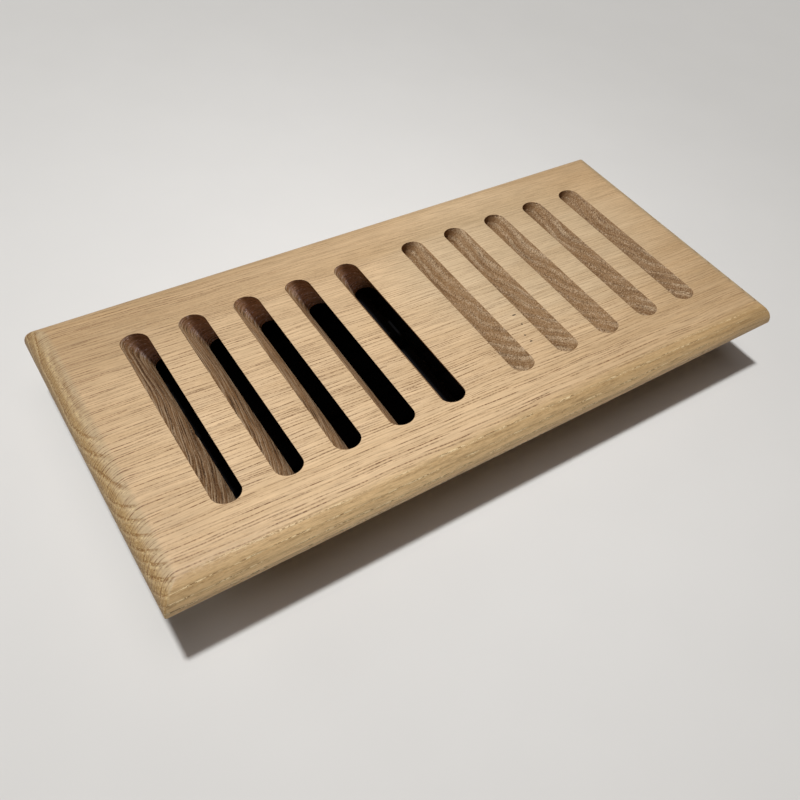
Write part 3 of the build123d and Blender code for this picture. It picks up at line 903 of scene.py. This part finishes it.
def fastening_tree():
    """Sets a fastener on each point along the point's own axis, turned at random about it."""
    inputs = [("Fastener", "Object"), ("Finish", "Material"), ("Seed", "Int")]
    tree, graph, wires, names = new_geometry_tree("set_fasteners", inputs)
    fastener = graph.node("GeometryNodeObjectInfo", None, {"Object": wires["Fastener"]}, "Geometry")
    axis = graph.node("GeometryNodeInputNamedAttribute", {"data_type": "FLOAT_VECTOR"}, {"Name": "axis"})
    stand = graph.node("FunctionNodeAlignRotationToVector", {"axis": "Z"}, {"Vector": axis})
    angle = graph.node("FunctionNodeRandomValue", {"data_type": "FLOAT"},
                       {2: 0.0, 3: math.tau, "Seed": wires["Seed"]}, 1)
    turn = graph.node("FunctionNodeAxisAngleToRotation", None, {"Axis": (0.0, 0.0, 1.0), "Angle": angle})
    stand = graph.node("FunctionNodeRotateRotation", {"rotation_space": "LOCAL"},
                       {"Rotation": stand, "Rotate By": turn})
    placed = graph.node("GeometryNodeInstanceOnPoints", None,
                        {"Points": wires["Geometry"], "Instance": fastener, "Rotation": stand})
    placed = graph.node("GeometryNodeRealizeInstances", None, {"Geometry": placed})
    placed = shade_by_angle(graph, placed)
    placed = graph.node("GeometryNodeSetMaterial", None, {"Geometry": placed, "Material": wires["Finish"]})
    end_tree(graph, placed)
    return tree, names


def set_fasteners(name, places, fastener, material, setting, seed):
    """One mesh of like fasteners. A place is a seat and the way out of it."""
    tree, names = setting
    mesh = bpy.data.meshes.new(name)
    mesh.from_pydata([seat for seat, _ in places], [], [])
    axes = mesh.attributes.new("axis", "FLOAT_VECTOR", "POINT")
    for value, (_, axis) in zip(axes.data, places):
        value.vector = axis
    points = link_object(name, mesh)
    add_tree(points, tree, names, {"Fastener": fastener, "Finish": material, "Seed": seed})
    points = settled(points, name)
    bpy.data.objects.remove(fastener)
    return points


def rivet_places():
    """Seats on the outer faces of the frame's tabs, from the box of the solid rivets."""
    low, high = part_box("corner_rivets")
    along = high.x - RIVET_HEAD_RADIUS
    seat = high.y - RIVET_HEAD
    heights = (low.z + RIVET_HEAD_RADIUS, high.z - RIVET_HEAD_RADIUS)
    return [((end * along, side * seat, height), (0, side, 0))
            for end in (-1, 1) for side in (-1, 1) for height in heights]


def screw_places():
    """Seats under the end flanges, from the box of the solid screws."""
    low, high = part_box("frame_screws")
    along = high.x - SCREW_HEAD_RADIUS
    across = high.y - SCREW_HEAD_RADIUS
    seat = low.z + SCREW_HEAD
    return [((end * along, side * across, seat), (0, 0, -1)) for end in (-1, 1) for side in (-1, 1)]


def smoothing_tree():
    """Joins loose triangles and shades them by angle."""
    tree, graph, wires, _ = new_geometry_tree("smooth_sheet", [])
    joined = graph.node("GeometryNodeMergeByDistance", None,
                        {"Geometry": wires["Geometry"], "Distance": SHEET_WELD})
    end_tree(graph, shade_by_angle(graph, joined))
    return tree


def dress(names, material, tree):
    """Finish and smooth shading of CAD nodes."""
    for name in names:
        node = frame["nodes"][name]
        node.data.materials.clear()
        node.data.materials.append(material)
        add_tree(node, tree, {}, {})


def floor_paper():
    """Pale, faintly mottled paper, with painted shade that darkens it away from the middle of the floor."""
    material, graph, finish = new_material("floor_paper", 0.2, {"Roughness": 0.8})
    place = graph.place()
    mottle = graph.noise(place, 3.0, 0.5, 25)
    away = graph.node("ShaderNodeVectorMath", {"operation": "DISTANCE"},
                      {0: place, 1: FLOOR_MIDDLE}, "Value")
    paper = graph.mix(mottle, paint(235, 235, 233), paint(231, 231, 229))
    finish(Base_Color=graph.tint(graph.fade(away, *FLOOR_SHADE_REACH), paper, FLOOR_SHADE_CAST))
    return material


def lay_floor():
    """Flat floor that the register stands on."""
    floor = link_object("floor", bpy.data.meshes.new("floor"))
    sheet = bmesh.new()
    bmesh.ops.create_grid(sheet, x_segments=1, y_segments=1, size=FLOOR_HALF_WIDTH)
    sheet.to_mesh(floor.data)
    sheet.free()
    floor.data.materials.append(floor_paper())


def add_light(name, kind, power, place):
    """New light in the scene."""
    light = bpy.data.lights.new(name, kind)
    light.energy = power
    made = link_object(name, light)
    made.location = place
    return made


def hang_lights():
    """A lamp and a soft panel over the board, and a weak light from behind."""
    lamp = add_light("lamp", "POINT", LAMP_POWER, LAMP_PLACE)
    lamp.data.shadow_soft_size = LAMP_RADIUS
    back_left = add_light("back_left", "AREA", BACK_POWER, BACK_PLACE)
    back_left.data.size = BACK_SIZE
    back_left.rotation_euler = (-back_left.location).to_track_quat("-Z", "Y").to_euler()
    panel = add_light("panel", "AREA", PANEL_POWER, PANEL_PLACE)
    panel.data.size = PANEL_SIZE
    panel.data.color = PANEL_COLOUR


def fill_light():
    """Even fill from all round."""
    world = bpy.data.worlds.new("fill")
    bpy.context.scene.world = world
    world.use_nodes = True
    background = world.node_tree.nodes["Background"]
    background.inputs["Color"].default_value = FILL_COLOUR
    background.inputs["Strength"].default_value = FILL_STRENGTH


def camera():
    """Camera at the photograph's viewpoint."""
    lens = bpy.data.cameras.new("camera")
    lens.sensor_width = SENSOR_WIDTH
    lens.lens = CAMERA_LENS
    view = link_object("camera", lens)
    turn = Euler((math.pi / 2 - CAMERA_LOOK_DOWN, 0.0, -CAMERA_YAW)).to_matrix().to_4x4()
    view.matrix_world = Matrix.Translation(CAMERA_PLACE) @ turn @ Matrix.Rotation(CAMERA_ROLL, 4, "Z")
    bpy.context.scene.camera = view


bpy.context.scene.view_settings.view_transform = "Standard"

# The board
board = face_board()
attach(board, "register")
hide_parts("face_plate")

# The damper, finished by the record's material slots
nodes_by_slot = {}
for node in frame["record"]["subparts"]:
    nodes_by_slot.setdefault(node["material_slot"], []).append(node["node"])
smooth = smoothing_tree()
black_sheet = black_coat("black_sheet", paint(19, 19, 22), paint(26, 26, 29), 0.07)
# The thumb lever gets a darker, duller copy of the coat: painted shade that keeps the lamp's glint off it
lever_shade_black = black_coat("lever_shade_black", paint(9, 9, 11), paint(13, 13, 15), 0.04)
dress([name for name in nodes_by_slot["black_sheet"] if name != "thumb_lever"], black_sheet, smooth)
dress(["thumb_lever"], lever_shade_black, smooth)
dress(nodes_by_slot["nylon"], black_nylon(), smooth)
rod_steel = plain_metal("rod_steel", paint(66, 66, 69), paint(54, 54, 57), 0.35)
rivet_steel = plain_metal("rivet_steel", paint(48, 48, 50), paint(38, 38, 40), 0.5)
screw_steel = plain_metal("screw_steel", paint(190, 186, 174), paint(166, 163, 152), 0.28)
dress(nodes_by_slot["rod_steel"], rod_steel, smooth)
dress(nodes_by_slot["rivet_steel"], rivet_steel, smooth)
dress(nodes_by_slot["screw_steel"], screw_steel, smooth)

# The fasteners of its frame
setting = fastening_tree()
rivets = set_fasteners("blind_rivets", rivet_places(), blind_rivet(), rivet_steel, setting, RIVET_SEED)
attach(rivets, "register")
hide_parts("corner_rivets")
screws = set_fasteners("flange_screws", screw_places(), pan_head_screw(), screw_steel, setting, SCREW_SEED)
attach(screws, "register")
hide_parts("frame_screws")

# The studio
lay_floor()
hang_lights()
fill_light()
camera()
